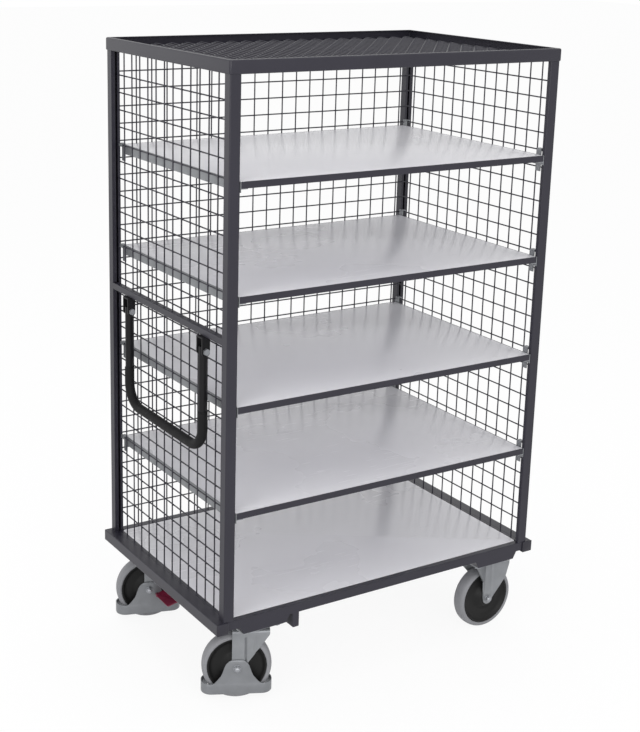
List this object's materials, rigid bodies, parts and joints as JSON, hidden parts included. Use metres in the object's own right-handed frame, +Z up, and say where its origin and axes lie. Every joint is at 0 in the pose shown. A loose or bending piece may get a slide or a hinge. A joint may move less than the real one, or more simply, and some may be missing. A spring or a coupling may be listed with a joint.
{
  "type": "shelf trolley",
  "caption": "Tall shelf trolley with welded wire walls, open front, hung shelves, folding push handle, swivel and fixed casters with foot guards and a brake pedal.",
  "frame": {"origin": "on the floor under the middle of the frame, the middle of the bounding box's bottom", "axes": "+X along the length away from the push handle, +Y from the open front to the rear wall, +Z up"},
  "size_m": [1.124, 0.72, 1.809],
  "materials": {
    "frame_paint": "fine-textured powder coat",
    "mesh_paint": "powder-coated wire",
    "board": "satin laminate",
    "zinc": "satin zinc plating",
    "tyre": "matt non-marking rubber",
    "rim": "moulded",
    "grip": "matt sleeve",
    "cap": "moulded",
    "pedal": "smooth moulded"
  },
  "bodies": {
    "frame": {"base_board": "board", "caster_bolts": "zinc", "cross_channel": "frame_paint", "end_bar_caps": "cap", "fixed_axles": "zinc", "fixed_caster_channel": "frame_paint", "front_base_rail": "frame_paint", "front_fixed_fork": "zinc", "front_left_post": "frame_paint", "front_right_post": "frame_paint", "front_swivel_plate": "zinc", "handle_bolts": "zinc", "handle_brackets": "frame_paint", "left_end_bar": "frame_paint", "left_mesh": "mesh_paint", "left_mid_rail": "frame_paint", "rear_base_rail": "frame_paint", "rear_fixed_fork": "zinc", "rear_left_post": "frame_paint", "rear_mesh": "mesh_paint", "rear_right_post": "frame_paint", "rear_swivel_plate": "zinc", "right_end_bar": "frame_paint", "right_mesh": "mesh_paint", "shelf_1_board": "board", "shelf_1_hangers": "zinc", "shelf_1_rails": "frame_paint", "shelf_2_board": "board", "shelf_2_hangers": "zinc", "shelf_2_rails": "frame_paint", "shelf_3_board": "board", "shelf_3_hangers": "zinc", "shelf_3_rails": "frame_paint", "shelf_4_board": "board", "shelf_4_hangers": "zinc", "shelf_4_rails": "frame_paint", "swivel_caster_channel": "frame_paint", "top_mesh": "mesh_paint", "top_ring": "frame_paint"},
    "handle": {"handle_bar": "frame_paint", "handle_grip": "grip"},
    "front_swivel": {"front_swivel_fork": "zinc", "front_swivel_guard": "zinc", "front_swivel_axle": "zinc"},
    "rear_swivel": {"rear_swivel_fork": "zinc", "rear_swivel_guard": "zinc", "rear_swivel_axle": "zinc"},
    "front_swivel_wheel": {"front_swivel_rim": "rim", "front_swivel_tyre": "tyre"},
    "rear_swivel_wheel": {"rear_swivel_rim": "rim", "rear_swivel_tyre": "tyre"},
    "front_fixed_wheel": {"front_fixed_rim": "rim", "front_fixed_tyre": "tyre"},
    "rear_fixed_wheel": {"rear_fixed_rim": "rim", "rear_fixed_tyre": "tyre"},
    "pedal": {"brake_pedal": "pedal"}
  },
  "joints": [
    {"name": "handle_fold", "type": "hinge", "parent": "frame", "child": "handle", "pos_m": [-0.538, 0, 1.031], "axis": [0, 1, 0], "range_deg": [0, 90]},
    {"name": "front_swivel_turn", "type": "hinge", "parent": "frame", "child": "front_swivel", "pos_m": [-0.408, -0.281, 0.2166], "axis": [0, 0, 1], "continuous": true},
    {"name": "front_swivel_roll", "type": "hinge", "parent": "front_swivel", "child": "front_swivel_wheel", "pos_m": [-0.44395, -0.26347, 0.1], "axis": [0.4384, 0.8988, 0], "continuous": true},
    {"name": "front_fixed_roll", "type": "hinge", "parent": "frame", "child": "front_fixed_wheel", "pos_m": [0.439, -0.281, 0.1], "axis": [0, 1, 0], "continuous": true},
    {"name": "rear_swivel_turn", "type": "hinge", "parent": "frame", "child": "rear_swivel", "pos_m": [-0.408, 0.281, 0.2166], "axis": [0, 0, 1], "continuous": true},
    {"name": "rear_swivel_roll", "type": "hinge", "parent": "rear_swivel", "child": "rear_swivel_wheel", "pos_m": [-0.44604, 0.29336, 0.1], "axis": [0.309, 0.9511, 0], "continuous": true},
    {"name": "rear_fixed_roll", "type": "hinge", "parent": "frame", "child": "rear_fixed_wheel", "pos_m": [0.439, 0.281, 0.1], "axis": [0, 1, 0], "continuous": true},
    {"name": "brake_press", "type": "hinge", "parent": "rear_swivel", "child": "pedal", "pos_m": [-0.42322, 0.28594, 0.084], "axis": [0.309, 0.9511, 0], "range_deg": [0, 18]}
  ]
}
